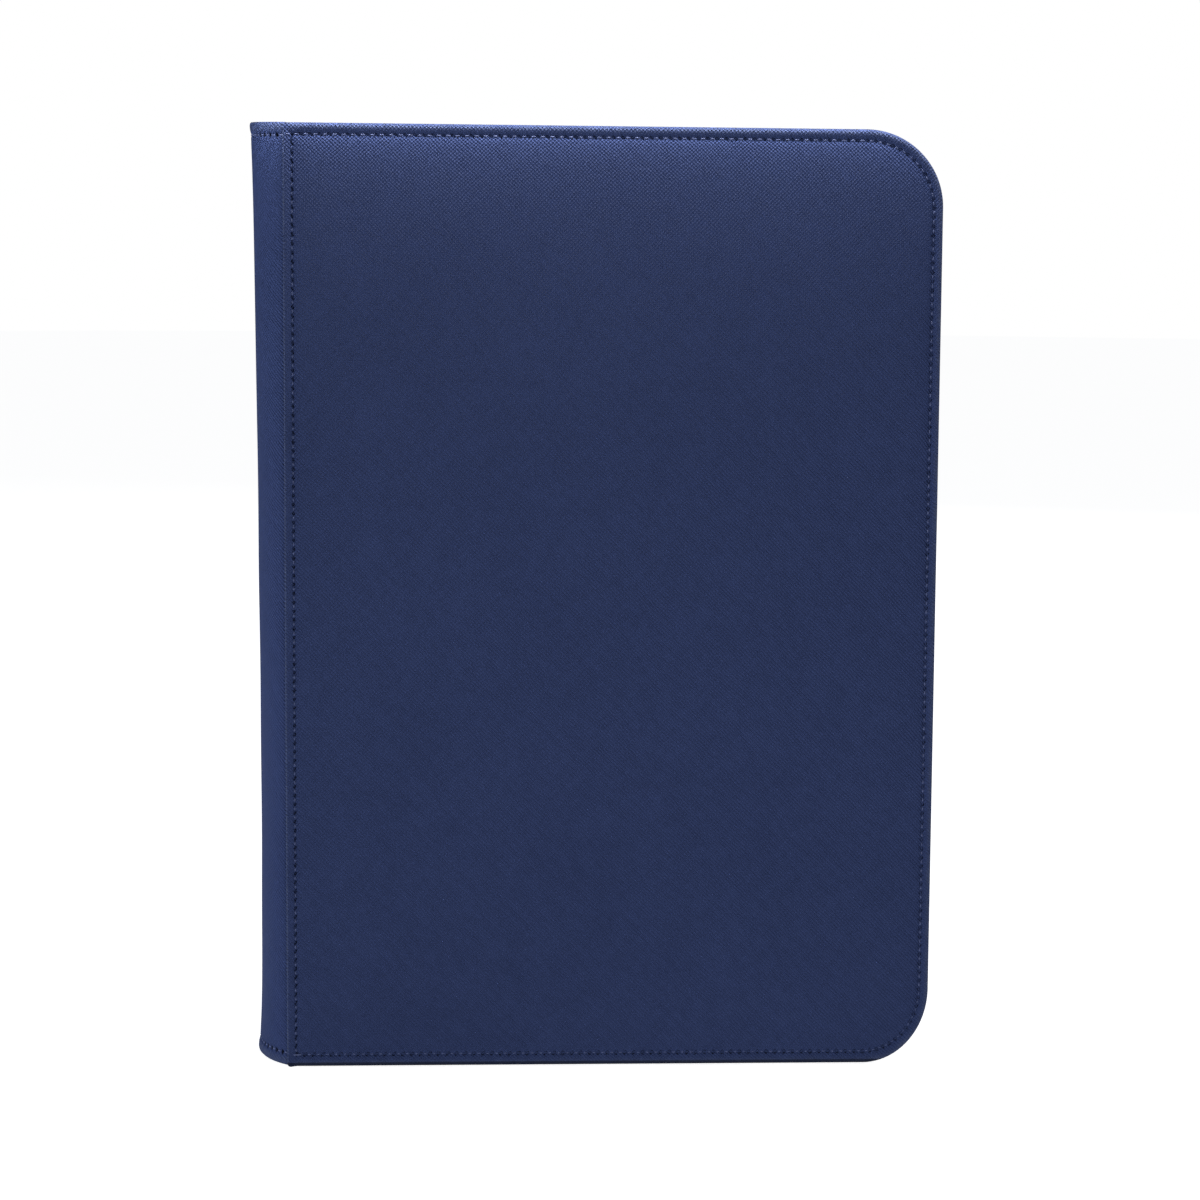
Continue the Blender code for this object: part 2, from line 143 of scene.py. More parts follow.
def add_piece(name, points, faces, material, body):
    """A mesh in millimetres as a piece that rides on a body."""
    mesh = bpy.data.meshes.new(name)
    mesh.from_pydata((np.asarray(points, float) * MM).tolist(), [], faces)
    shape = bmesh.new()
    shape.from_mesh(mesh)
    bmesh.ops.recalc_face_normals(shape, faces=shape.faces)
    shape.to_mesh(mesh)
    shape.free()
    mesh.shade_smooth()
    mesh.set_sharp_from_angle(angle=math.radians(SHARP_ANGLE))
    mesh.materials.append(material)
    piece = bpy.data.objects.new(name, mesh)
    bpy.context.scene.collection.objects.link(piece)
    if body:
        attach(piece, body)
    return piece


def grid_faces(rows, columns, wrap_rows=False, wrap_columns=False):
    """Quads over a grid of points stored row by row."""
    row = np.arange(rows if wrap_rows else rows - 1)[:, None]
    column = np.arange(columns if wrap_columns else columns - 1)[None, :]
    next_row, next_column = (row + 1) % rows, (column + 1) % columns
    quads = np.stack([row * columns + column, row * columns + next_column,
                      next_row * columns + next_column, next_row * columns + column], -1)
    return quads.reshape(-1, 4).tolist()


def loop_face(first, count):
    """One face over a run of points."""
    return [list(range(first, first + count))]


def smooth_step(value):
    """0 to 1 with level ends."""
    value = np.clip(value, 0, 1)
    return value * value * (3 - 2 * value)


def curve_through(points, substeps):
    """A smooth curve through points, each stretch cut into substeps."""
    points = np.asarray(points, float)
    padded = np.vstack([points[0], points, points[-1]])
    curve = []
    for k in range(len(points) - 1):
        before, start, end, after = padded[k:k + 4]
        for t in np.arange(substeps) / substeps:
            curve.append(0.5 * (2 * start + (end - before) * t
                                + (2 * before - 5 * start + 4 * end - after) * t ** 2
                                + (3 * start - before - 3 * end + after) * t ** 3))
    curve.append(points[-1])
    return np.array(curve)


def tube(centres, radius, sides, across):
    """Points and faces of a capped tube along centres; across is any direction not along it."""
    centres = np.asarray(centres, float)
    along = np.gradient(centres, axis=0)
    along /= np.linalg.norm(along, axis=1)[:, None]
    first = np.cross(along, across)
    first /= np.linalg.norm(first, axis=1)[:, None]
    second = np.cross(along, first)
    turn = np.arange(sides) * 2 * math.pi / sides
    radius = np.broadcast_to(np.asarray(radius, float), (len(centres),))
    ring = (first[:, None, :] * np.cos(turn)[None, :, None]
            + second[:, None, :] * np.sin(turn)[None, :, None])
    points = (centres[:, None, :] + ring * radius[:, None, None]).reshape(-1, 3)
    last = (len(centres) - 1) * sides
    faces = grid_faces(len(centres), sides, wrap_columns=True)
    return points, faces + loop_face(0, sides) + loop_face(last, sides)


def joined(parts):
    """Several (points, faces) as one."""
    points, faces, start = [], [], 0
    for part_points, part_faces in parts:
        points.append(part_points)
        faces += [[index + start for index in face] for face in part_faces]
        start += len(part_points)
    return np.vstack(points), faces


def unevenness(x, z, size, seed):
    """Smooth noise over the cover's plane, from -1 to 1, with features about size across."""
    return np.array([noise.noise(Vector((a / size, b / size, seed))) for a, b in zip(x, z)])


# Material helpers

class Shader:
    """A Principled material whose nodes are added one call at a time."""

    def __init__(self, name, roughness=0.5, metallic=0.0, specular=0.5, **sockets):
        self.material = bpy.data.materials.new(name)
        self.material.use_nodes = True
        self.tree = self.material.node_tree
        self.surface = self.tree.nodes["Principled BSDF"]
        self.surface.inputs["Roughness"].default_value = roughness
        self.surface.inputs["Metallic"].default_value = metallic
        self.surface.inputs["Specular IOR Level"].default_value = specular
        for socket, value in sockets.items():
            self.surface.inputs[socket.replace("_", " ").title()].default_value = value
        place = self.tree.nodes.new("ShaderNodeTexCoord").outputs["Object"]
        self.place = self.vector("MULTIPLY", place, (1 / MM,) * 3)

    def feed(self, socket, value):
        """Link or set one input."""
        if isinstance(value, bpy.types.NodeSocket):
            self.tree.links.new(value, socket)
        else:
            socket.default_value = value

    def math(self, operation, a, b=0.0, c=0.0):
        node = self.tree.nodes.new("ShaderNodeMath")
        node.operation = operation
        for socket, value in zip(node.inputs, (a, b, c)):
            self.feed(socket, value)
        return node.outputs[0]

    def vector(self, operation, a, b):
        node = self.tree.nodes.new("ShaderNodeVectorMath")
        node.operation = operation
        self.feed(node.inputs[0], a)
        self.feed(node.inputs[1], b)
        return node.outputs["Value" if operation == "DOT_PRODUCT" else "Vector"]

    def along(self, direction):
        """The place measured along a direction, in millimetres."""
        unit = Vector(direction).normalized()
        return self.vector("DOT_PRODUCT", self.place, tuple(unit))

    def joined(self, x, y, z=0.0):
        node = self.tree.nodes.new("ShaderNodeCombineXYZ")
        for socket, value in zip(node.inputs, (x, y, z)):
            self.feed(socket, value)
        return node.outputs[0]

    def noise(self, scale, detail=1.0, place=None):
        """Noise with about scale features per millimetre."""
        node = self.tree.nodes.new("ShaderNodeTexNoise")
        node.inputs["Scale"].default_value = scale
        node.inputs["Detail"].default_value = detail
        self.feed(node.inputs["Vector"], self.place if place is None else place)
        return node.outputs[0]

    def ramp(self, value, low, high, to_low=0.0, to_high=1.0):
        """The value's range low..high stretched over another, and clamped."""
        node = self.tree.nodes.new("ShaderNodeMapRange")
        for socket, item in zip(node.inputs, (value, low, high, to_low, to_high)):
            self.feed(socket, item)
        return node.outputs[0]

    def attribute(self, name):
        node = self.tree.nodes.new("ShaderNodeAttribute")
        node.attribute_name = name
        return node.outputs["Fac"]

    def mix(self, share, first, second):
        node = self.tree.nodes.new("ShaderNodeMix")
        node.data_type = "RGBA"
        self.feed(node.inputs["Factor"], share)
        for socket, value in ((node.inputs["A"], first), (node.inputs["B"], second)):
            colour = [s for s in node.inputs if s.name == socket.name and s.type == "RGBA"][0]
            self.feed(colour, value)
        return [s for s in node.outputs if s.type == "RGBA"][0]

    def bump(self, height, depth, normal=None):
        """Relief of that depth in millimetres."""
        node = self.tree.nodes.new("ShaderNodeBump")
        node.inputs["Strength"].default_value = 1.0
        node.inputs["Distance"].default_value = depth * MM
        self.feed(node.inputs["Height"], height)
        if normal is not None:
            self.feed(node.inputs["Normal"], normal)
        return node.outputs[0]

    def finish(self, colour=None, roughness=None, normal=None):
        """Join the results to the surface."""
        names = {"Base Color": colour, "Roughness": roughness, "Normal": normal}
        for name, value in names.items():
            if value is not None:
                self.feed(self.surface.inputs[name], value)
        return self.material


def rgb(red, green, blue):
    """A screen colour, 0 to 255, as the linear colour that shaders use."""
    return tuple((c / 255 / 12.92 if c / 255 < 0.04045 else ((c / 255 + 0.055) / 1.055) ** 2.4)
                 for c in (red, green, blue)) + (1.0,)


# Materials

NAVY_HIGH, NAVY_LOW = rgb(53, 65, 104), rgb(35, 45, 77)
# A lighter, greyer navy for the crests of rolled edges: partly rubbed wear and partly a painted
# highlight
NAVY_WORN_AND_HIGHLIGHT = rgb(84, 91, 108)
# Near-black painted shade, for the stitch holes, the bottom edge and the spine beside its folds
PAINTED_SHADE = rgb(6, 8, 16)
DOWN_LINES, UP_LINES = (1, 0.7, 1), (1, -0.7, -1)
DOWN_PITCH, UP_PITCH = 0.9, 0.91
TWIST_PITCH = 0.35           # of the thread's strands
RIB_PITCH, RIB_WIDTH = 0.7, 1.1      # of the zip tape's herringbone
KNURL_PITCH = 0.9            # of the leaves' welds


def pressed_lines(shader, direction, pitch, seed):
    """Long fine ridges across a direction, nearly straight and fading along their length."""
    across = shader.math("DIVIDE", shader.along(direction), pitch)
    wander = shader.noise(0.045, 1.0, shader.vector("ADD", shader.place, (seed,) * 3))
    fine = shader.noise(0.5, 1.0, shader.vector("ADD", shader.place, (-seed,) * 3))
    shift = shader.math("MULTIPLY_ADD", wander, 2.0, across)
    shift = shader.math("MULTIPLY_ADD", fine, 0.25, shift)
    wave = shader.math("SINE", shader.math("MULTIPLY", shift, 2 * math.pi))
    ridge = shader.math("MULTIPLY_ADD", wave, 0.5, 0.5)
    length = shader.along((-direction[2], direction[1], direction[0]))
    streak = shader.joined(shader.math("MULTIPLY", shader.along(direction), 0.5),
                           shader.math("MULTIPLY", length, 0.12), seed)
    fade = shader.ramp(shader.noise(1.0, 1.0, streak), 0.35, 0.62, 0.65, 1.0)
    return shader.math("MULTIPLY", ridge, fade)


def make_leather(name, down_share, up_share, depth, specular, wrapped=False):
    """Navy leather pressed with two families of fine diagonal lines.

    On a wrapped piece the lines follow the surface, by the distance stored round it.
    """
    shader = Shader(name, roughness=0.55, specular=specular)
    if wrapped:
        shader.place = shader.joined(shader.attribute("around"), 0.0, shader.along((0, 0, 1)))
    down = pressed_lines(shader, DOWN_LINES, DOWN_PITCH, 3.1)
    up = pressed_lines(shader, UP_LINES, UP_PITCH, 7.7)
    relief = shader.math("MULTIPLY_ADD", up, up_share, shader.math("MULTIPLY", down, down_share))
    cloud = shader.ramp(shader.noise(0.018, 2.0), 0.3, 0.7, -0.06, 0.06)
    # The grooves of the pressed lines are painted a little darker than their ridges, a slight
    # painted shade; the cloud is random tone
    tone = shader.math("ADD", shader.ramp(relief, 0.1, 0.9, 0.49, 0.51), cloud)
    patches = shader.ramp(shader.noise(0.35, 2.0), 0.35, 0.7, 0.4, 1.0)
    wear_and_highlight = shader.math("MULTIPLY", shader.attribute("wear_and_highlight"), patches)
    colour = shader.mix(tone, NAVY_LOW, NAVY_HIGH)
    # The crests are lightened: partly rubbed wear, partly a painted highlight
    colour = shader.mix(shader.math("MULTIPLY", wear_and_highlight, 0.3), colour, NAVY_WORN_AND_HIGHLIGHT)
    # Painted shade: where the dark attribute is high (stitch holes, the bottom edge, the spine
    # beside its folds) the leather is painted near-black
    colour = shader.mix(shader.ramp(shader.attribute("dark"), 0.3, 0.65), colour, PAINTED_SHADE)
    matt = shader.ramp(relief, 0.1, 0.9, 0.62, 0.52)
    roughness = shader.math("MULTIPLY_ADD", wear_and_highlight, -0.1, matt)
    return shader.finish(colour, roughness, shader.bump(relief, depth))


def make_thread(name, dark, light):
    """Twisted sewing thread."""
    shader = Shader(name, roughness=0.55, specular=0.4)
    twist = shader.math("MULTIPLY", shader.along((1, 0.6, 0.8)), 2 * math.pi / TWIST_PITCH)
    strand = shader.math("MULTIPLY_ADD", shader.math("SINE", twist), 0.5, 0.5)
    fuzz = shader.ramp(shader.noise(2.2, 3.0), 0.3, 0.7, 0.0, 0.4)
    tone = shader.math("ADD", shader.math("MULTIPLY", strand, 0.6), fuzz)
    return shader.finish(shader.mix(tone, dark, light), None, shader.bump(strand, 0.08))


def make_weave(name, pitch, dark, light):
    """Plain-woven cloth: threads over and under in a chequer."""
    shader = Shader(name, roughness=0.85, specular=0.2, sheen_weight=0.25, sheen_roughness=0.5)
    wobble = shader.math("MULTIPLY", shader.noise(0.5, 2.0), 0.35)
    over = shader.math("MULTIPLY_ADD", shader.along((1, 0, 0)), 2 * math.pi / pitch, wobble)
    up = shader.math("MULTIPLY_ADD", shader.along((0, 0.15, 1)), 2 * math.pi / pitch, wobble)
    warp = shader.math("ABSOLUTE", shader.math("SINE", shader.math("MULTIPLY", over, 0.5)))
    weft = shader.math("ABSOLUTE", shader.math("SINE", shader.math("MULTIPLY", up, 0.5)))
    chequer = shader.math("MULTIPLY", shader.math("COSINE", shader.math("MULTIPLY", over, 0.5)),
                          shader.math("COSINE", shader.math("MULTIPLY", up, 0.5)))
    height = shader.math("MULTIPLY_ADD", chequer, 0.35, shader.math("MULTIPLY", warp, weft))
    slub = shader.ramp(shader.noise(0.25, 3.0), 0.3, 0.7, -0.15, 0.15)
    tone = shader.math("ADD", shader.ramp(height, 0.0, 1.1, 0.1, 0.85), slub)
    return shader.finish(shader.mix(tone, dark, light), None, shader.bump(height, 0.09))


def make_herringbone(name, dark, light):
    """Zip tape: narrow ribs that slope one way and then the other."""
    shader = Shader(name, roughness=0.8, specular=0.25, sheen_weight=0.3)
    level = shader.along((0, 1, 0))
    run = shader.math("ADD", shader.along((1, 0, 0)), shader.along((0, 0, 1)))
    zigzag = shader.math("PINGPONG", level, RIB_WIDTH)
    rib = shader.math("MULTIPLY", shader.math("ADD", run, zigzag), 2 * math.pi / RIB_PITCH)
    ribs = shader.math("MULTIPLY_ADD", shader.math("SINE", rib), 0.5, 0.5)
    wave = shader.math("SINE", shader.math("MULTIPLY", level, math.pi / RIB_WIDTH))
    columns = shader.math("ABSOLUTE", wave)
    height = shader.math("MULTIPLY", ribs, shader.ramp(columns, 0.0, 0.5, 0.3, 1.0))
    tone = shader.math("ADD", height, shader.ramp(shader.noise(0.4, 2.0), 0.3, 0.7, -0.15, 0.15))
    return shader.finish(shader.mix(tone, dark, light), None, shader.bump(height, 0.1))


def make_plastic(name, dark, light, roughness, depth, scale):
    """Moulded or extruded plastic with a faint mottle."""
    shader = Shader(name, roughness=roughness, specular=0.5)
    mottle = shader.noise(scale, 3.0)
    fine = shader.noise(scale * 9, 2.0)
    tone = shader.ramp(mottle, 0.3, 0.7)
    rough = shader.ramp(fine, 0.3, 0.7, roughness - 0.08, roughness + 0.1)
    return shader.finish(shader.mix(tone, dark, light), rough, shader.bump(fine, depth))


def make_metal(name):
    """Dark plated zinc, brushed by handling."""
    shader = Shader(name, metallic=1.0, specular=0.5)
    streak = shader.joined(shader.math("MULTIPLY", shader.along((1, 0, 0)), 0.3),
                           shader.math("MULTIPLY", shader.along((0, 1, 0)), 5.0),
                           shader.math("MULTIPLY", shader.along((0, 0, 1)), 5.0))
    brushed = shader.noise(1.0, 3.0, streak)
    stain = shader.ramp(shader.noise(0.5, 2.0), 0.35, 0.7)
    colour = shader.mix(stain, rgb(104, 106, 112), rgb(146, 147, 152))
    rough = shader.ramp(brushed, 0.3, 0.7, 0.22, 0.4)
    return shader.finish(colour, rough, shader.bump(brushed, 0.01))


def make_film(name):
    """Clear pocket film over a black core, with soft ripples and dull welds."""
    shader = Shader(name, roughness=0.12, specular=0.6, coat_weight=0.6, coat_roughness=0.06)
    weld = shader.attribute("weld")
    ripple = shader.noise(0.06, 2.0)
    waves = [shader.math("SINE", shader.math("MULTIPLY", shader.along(direction),
                                             2 * math.pi / KNURL_PITCH))
             for direction in ((1, 0, 1), (1, 0, -1))]
    knurl = shader.math("MULTIPLY", shader.math("MULTIPLY", *waves), weld)
    haze = shader.ramp(shader.noise(0.15, 3.0), 0.3, 0.75)
    tone = shader.math("MULTIPLY_ADD", weld, 0.4, shader.math("MULTIPLY", haze, 0.35))
    colour = shader.mix(tone, rgb(20, 20, 23), rgb(52, 54, 60))
    rough = shader.math("MULTIPLY_ADD", weld, 0.3, shader.ramp(haze, 0.0, 1.0, 0.1, 0.2))
    normal = shader.bump(knurl, 0.05, normal=shader.bump(ripple, 0.8))
    return shader.finish(colour, rough, normal)


LEATHER = make_leather("cover_leather", 0.55, 0.42, 0.62, 0.05)
SPINE_MATERIAL = make_leather("spine_leather", 0.2, 0.8, 0.4, 0.03, wrapped=True)
THREAD = make_thread("navy_thread", rgb(48, 58, 92), rgb(90, 101, 143))
INNER_THREAD = make_thread("lining_thread", rgb(18, 20, 28), rgb(60, 64, 78))
LINING = make_weave("lining_cloth", 0.8, rgb(9, 10, 12), rgb(34, 35, 40))
TAPE = make_herringbone("zip_tape", rgb(14, 16, 24), rgb(44, 49, 66))
COIL = make_plastic("coil_nylon", rgb(20, 22, 30), rgb(34, 38, 50), 0.35, 0.01, 0.6)
STRIP = make_plastic("strip_plastic", rgb(14, 14, 16), rgb(26, 26, 29), 0.45, 0.02, 0.3)
FOAM = make_plastic("foam_cell", rgb(66, 68, 74), rgb(92, 94, 100), 0.95, 0.25, 1.2)
BOARD = make_plastic("grey_board", rgb(128, 122, 110), rgb(160, 152, 138), 0.9, 0.06, 0.5)
METAL = make_metal("plated_zinc")
FILM = make_film("pocket_film")


# Covers

def stitch_places(count):
    """Places from 0 to 1, close together near each stitch hole."""
    starts = np.arange(count)[:, None]
    return ((starts + np.array(STITCH_STEPS)) / count).ravel()


def outline_ring(inset):
    """Points (x, z) round a cover at a nominal inset, which each side scales to its own.

    The top edge's drop fades out over the upper two fifths of the height.
    """
    ring = level_ring(inset)
    across = np.clip((ring[:, 0] - FOLD_X) / (EDGE_X - FOLD_X), 0, 1)
    up = np.clip(ring[:, 1] / HEIGHT * 2.5 - 1.5, 0, 1)
    ring[:, 1] -= TOP_FALL * across * up
    return ring


def level_ring(inset):
    """The outline before its top edge drops."""
    top, fore, bottom, seam = (inset * scale for scale in
                               (TOP_SCALE, FORE_SCALE, BOTTOM_SCALE, SEAM_SCALE))
    clear = 0.02
    corner_x = max(SPINE_CORNER_RADIUS, seam + clear)
    corner_top = max(SPINE_CORNER_RADIUS, top + clear)
    corner_bottom = max(SPINE_CORNER_RADIUS, bottom + clear)
    arc_x, low_arc_x = EDGE_X - CORNER_RADIUS, EDGE_X - LOW_CORNER_WIDTH
    arc_top, arc_bottom = HEIGHT - CORNER_RADIUS, CORNER_RADIUS
    left = FOLD_X + corner_x

    def straight(start, end, count):
        t = stitch_places(count)[:, None]
        return np.array(start) + (np.array(end) - np.array(start)) * t

    def fore_arc(x, z, start, first, second):
        t = stitch_places(CORNER_STITCHES)
        inwards = first + (second - first) * smooth_step(t)
        turn = np.radians(start - 90 * t)
        return np.stack([x + (EDGE_X - x - inwards) * np.cos(turn),
                         z + (CORNER_RADIUS - inwards) * np.sin(turn)], 1)

    def spine_arc(z, start, height):
        turn = np.radians(start - 90 * np.arange(SPINE_CORNER_STEPS) / SPINE_CORNER_STEPS)
        return np.stack([left + (corner_x - seam) * np.cos(turn), z + height * np.sin(turn)], 1)

    return np.vstack([
        straight((left, HEIGHT - top), (arc_x, HEIGHT - top), TOP_STITCHES),
        fore_arc(arc_x, arc_top, 90, top, fore),
        straight((EDGE_X - fore, arc_top), (EDGE_X - fore, arc_bottom), FORE_STITCHES),
        fore_arc(low_arc_x, arc_bottom, 0, fore, bottom),
        straight((low_arc_x, bottom), (left, bottom), BOTTOM_STITCHES),
        spine_arc(corner_bottom, -90, corner_bottom - bottom),
        straight((FOLD_X + seam, corner_bottom), (FOLD_X + seam, HEIGHT - corner_top),
                 SEAM_STITCHES),
        spine_arc(HEIGHT - corner_top, 180, corner_top - top)])


def fold_share(ring):
    """1 where the outline is the folded edge along the seam, 0 where it is a full edge."""
    near, far = FOLD_REACH
    return 1 - smooth_step((ring[:, 0] - FOLD_X - near) / (far - near))


def row_distances(count):
    """How far each point of a row of stitches is from the nearest hole, along the row."""
    near = np.array([min(step, 1 - step) for step in STITCH_STEPS]) * STITCH_PITCH
    return np.tile(near, count)


def hole_distances():
    """How far each point of the outline is from the nearest stitch hole, along the edge."""
    stitched = (TOP_STITCHES + CORNER_STITCHES + FORE_STITCHES + CORNER_STITCHES
                + BOTTOM_STITCHES)
    gap = np.full(SPINE_CORNER_STEPS, STITCH_PITCH)
    return np.concatenate([row_distances(stitched), gap, row_distances(SEAM_STITCHES), gap])


def hole_share(along, across):
    """1 in the middle of a stitch hole and 0 outside it."""
    return np.clip(1.5 - np.hypot(along, across) / HOLE_RADIUS, 0, 1)


def face_level(x, z, side):
    """The padded face's level: a low crown and slow unevenness."""
    u = np.clip((x - SEAM_X) / (FORE_X - SEAM_X), 0, 1)
    v = np.clip(z / HEIGHT, 0, 1)
    crown = (4 * u * (1 - u) * 4 * v * (1 - v)) ** CROWN_FLATNESS
    slow = unevenness(x, z, 85, 4.3 * side) * SLOW_UNEVENNESS
    quick = unevenness(x, z, 34, 9.1 * side) * QUICK_UNEVENNESS
    return FACE_LEVEL + 0.02 + PANEL_CROWN * crown + (slow + quick) * crown


def make_cover(side):
    """The leather of one cover: a closed shell with a rolled edge and a stitched groove."""
    base = outline_ring(0)
    fold = fold_share(base)
    beside_hole = hole_distances()
    edge_rows = curve_through(EDGE_PROFILE, PROFILE_SUBSTEPS)
    fold_rows = curve_through(FOLD_PROFILE, PROFILE_SUBSTEPS)
    rings, levels, wear_and_highlight, dark = [], [], [], []
    for edge_row, fold_row in zip(edge_rows, fold_rows):
        edge_ring, fold_ring = outline_ring(edge_row[0]), outline_ring(fold_row[0])
        ring = edge_ring + (fold_ring - edge_ring) * fold[:, None]
        level = edge_row[1] + (fold_row[1] - edge_row[1]) * fold
        on_face = HOLE_BAND[0] < edge_row[0] < HOLE_BAND[1] and edge_row[1] > RIM_LEVEL
        # Each stitch hole sinks the leather and is also painted with shade, through the dark
        # attribute
        dip = hole_share(beside_hole, edge_row[0] - STITCH_INSET) * on_face
        pucker = unevenness(ring[:, 0] + ring[:, 1] * 0.3, ring[:, 1], 6, 2.2 * side)
        rolled = RIM_PUCKER if 0 < edge_row[0] < 3.4 and edge_row[1] > 24.2 else 0
        rings.append(ring)
        levels.append(level - HOLE_DEPTH * dip + rolled * pucker)
        # The crests of the rolled edge and of the fold are marked for the lighter colour: partly
        # rubbed wear, partly a painted highlight
        edge_crest = math.exp(-((edge_row[0] - 0.9) / 0.7) ** 2) * (edge_row[1] > 23)
        fold_crest = 1.6 * math.exp(-((fold_row[0] - 0.15) / 0.3) ** 2) * (fold_row[1] > 24.3)
        wear_and_highlight.append(edge_crest + (fold_crest - edge_crest) * fold)
        # Painted shade along the bottom edge that the binder stands on, carried by the dark
        # attribute
        base_shade = BASE_SHADE * smooth_step((BASE_SHADE_HEIGHT - ring[:, 1]) / 0.5) * (edge_row[1] > 20)
        dark.append(np.maximum(dip, base_shade))
    joint_level = levels[-1]
    first_face = edge_rows[-1][0]
    for inset in FACE_INSETS:
        ring = outline_ring(inset)
        share = 1 - math.exp((first_face - inset) / PAD_REACH)
        rings.append(ring)
        rise = face_level(ring[:, 0], ring[:, 1], side) - joint_level
        levels.append(joint_level + rise * share)
        wear_and_highlight.append(np.zeros(len(ring)))
        dark.append(np.zeros(len(ring)))
    count = len(base)
    flat, level = np.vstack(rings), np.concatenate(levels)
    faces = grid_faces(len(rings), count, wrap_columns=True) + loop_face(0, count)
    inner_points, inner_faces = face_middle(rings[-1], len(flat) - count)
    inner_level = face_level(inner_points[:, 0], inner_points[:, 1], side)
    flat = np.vstack([flat, inner_points])
    level = np.concatenate([level, inner_level])
    points = np.stack([flat[:, 0], side * level, flat[:, 1]], 1)
    name = side_name(side)
    cover = add_piece(name + "_cover_leather", points, faces + inner_faces, LEATHER,
                      name + "_cover")
    blank = np.zeros(len(inner_points))
    store(cover, "wear_and_highlight", np.concatenate(wear_and_highlight + [blank]))
    store(cover, "dark", np.concatenate(dark + [blank]))
    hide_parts(name + "_cover_skin")
    groove = int(np.argmin(np.abs(edge_rows[:, 0] - STITCH_INSET)))
    row = points[groove * count:(groove + 1) * count][beside_hole == 0]
    return row + np.array([0, side * HOLE_DEPTH, 0])


def face_middle(ring, first):
    """A triangle mesh inside the innermost ring: its new points, and faces that use both."""
    low, high = ring.min(0), ring.max(0)
    xs = np.arange(low[0] + FACE_GRID * 0.6, high[0], FACE_GRID)
    zs = np.arange(low[1] + FACE_GRID * 0.6, high[1], FACE_GRID)
    grid = [(x, z) for z in zs for x in xs if inside_outline(x, z, ring)]
    outline = [Vector(point) for point in ring]
    count = len(outline)
    edges = [(k, (k + 1) % count) for k in range(count)]
    vertices = outline + [Vector(point) for point in grid]
    found = geometry.delaunay_2d_cdt(vertices, edges, [], 1, 1e-6)
    points, faces, origins = found[0], found[2], found[3]
    index, new_points = {}, []
    for k, point in enumerate(points):
        if origins[k] and origins[k][0] < count:
            index[k] = first + origins[k][0]
        else:
            index[k] = first + count + len(new_points)
            new_points.append(tuple(point))
    return np.array(new_points), [[index[k] for k in face] for face in faces]


def inside_outline(x, z, ring):
    """Whether a point lies inside the rounded face, clear of its ring."""
    clear = FACE_GRID * 0.5
    low, high = ring.min(0) + clear, ring.max(0) - clear
    if not (low[0] < x < high[0] and low[1] < z < high[1]):
        return False
    radius = CORNER_RADIUS - FACE_INSETS[-1]
    centre_x = high[0] + clear - radius
    for centre_z, outwards in ((low[1] - clear + radius, -1), (high[1] + clear - radius, 1)):
        dx, dz = x - centre_x, (z - centre_z) * outwards
        if dx > 0 and dz > 0 and math.hypot(dx, dz) > radius - clear:
            return False
    return True


def store(piece, name, values):
    """Keep one number for each point, for the material to read."""
    attribute = piece.data.attributes.new(name, "FLOAT", "POINT")
    attribute.data.foreach_set("value", np.asarray(values, np.float32))


def side_name(side):
    """The word that starts the names of one cover's pieces."""
    return "front" if side == FRONT else "back"


# Stitching

def stitch(start, end, outwards, lift, share):
    """One stitch between two holes: a short length of thread that dives into both."""
    t = np.array([0.0, 0.07, 0.2, 0.38, 0.62, 0.8, 0.93, 1.0])
    across = 0.5 + (t - 0.5) * share
    rise = np.sin(math.pi * np.clip(t, 0, 1)) ** 0.5
    centres = (start + (end - start) * across[:, None]
               + outwards * (lift + STITCH_DIVE * (rise - 1))[:, None])
    radius = THREAD_RADIUS * np.array([0.45, 0.8, 1, 1, 1, 1, 0.8, 0.45])
    return tube(centres, radius, TUBE_SIDES, np.cross(outwards, end - start))


def stitch_line(holes, outwards, lift, share):
    """The stitches that join neighbouring holes of a row."""
    count = len(holes) - 1
    outwards = np.broadcast_to(np.asarray(outwards, float), (len(holes), 3))
    lift, share = np.broadcast_to(lift, count), np.broadcast_to(share, count)
    return [stitch(holes[k], holes[k + 1], outwards[k], lift[k], share[k]) for k in range(count)]


def make_cover_stitching(side, holes):
    """The thread round a cover, and the row down its fold."""
    outwards = np.array([0, side, 0])
    seam_row = holes[-SEAM_STITCHES:]
    edge_row = holes[:-SEAM_STITCHES]
    stretches = ((TOP_THREAD, TOP_STITCHES), (CORNER_THREAD, CORNER_STITCHES),
                 (FORE_THREAD, FORE_STITCHES), (BOTTOM_THREAD, CORNER_STITCHES),
                 (BOTTOM_THREAD, BOTTOM_STITCHES - 1))
    lift, share = np.vstack([np.tile(thread, (count, 1)) for thread, count in stretches]).T
    parts = stitch_line(edge_row, outwards, lift, share)
    parts += stitch_line(seam_row, outwards, *SEAM_THREAD)
    for corner in (edge_row[0], edge_row[-1]):
        fold_edge = np.array([FOLD_X + 0.4, corner[1] + side * 0.35, corner[2]])
        parts.append(stitch(fold_edge, corner + outwards * 0.2, outwards, 0.1, 0.6))
    name = side_name(side)
    points, faces = joined(parts)
    add_piece(name + "_cover_stitching", points, faces, THREAD, name + "_cover")
    inner = edge_row.copy()
    inner[:, 1] = side * (LINING_LEVEL - 0.02)
    points, faces = joined(stitch_line(inner, -outwards, 0.0, 0.8))
    add_piece(name + "_inner_stitching", points, faces, INNER_THREAD, name + "_cover")


# Spine

def spine_bulge(z):
    """How far the strip stands out from the seam: full at the ends, slack in the middle."""
    share = z / HEIGHT
    return (SPINE_BULGE + SPINE_UPPER_SWELL * share ** 2
            + SPINE_TOP_FLARE * np.exp((share - 1) / 0.04)
            + SPINE_BOTTOM_FLARE * np.exp(-share / 0.05))


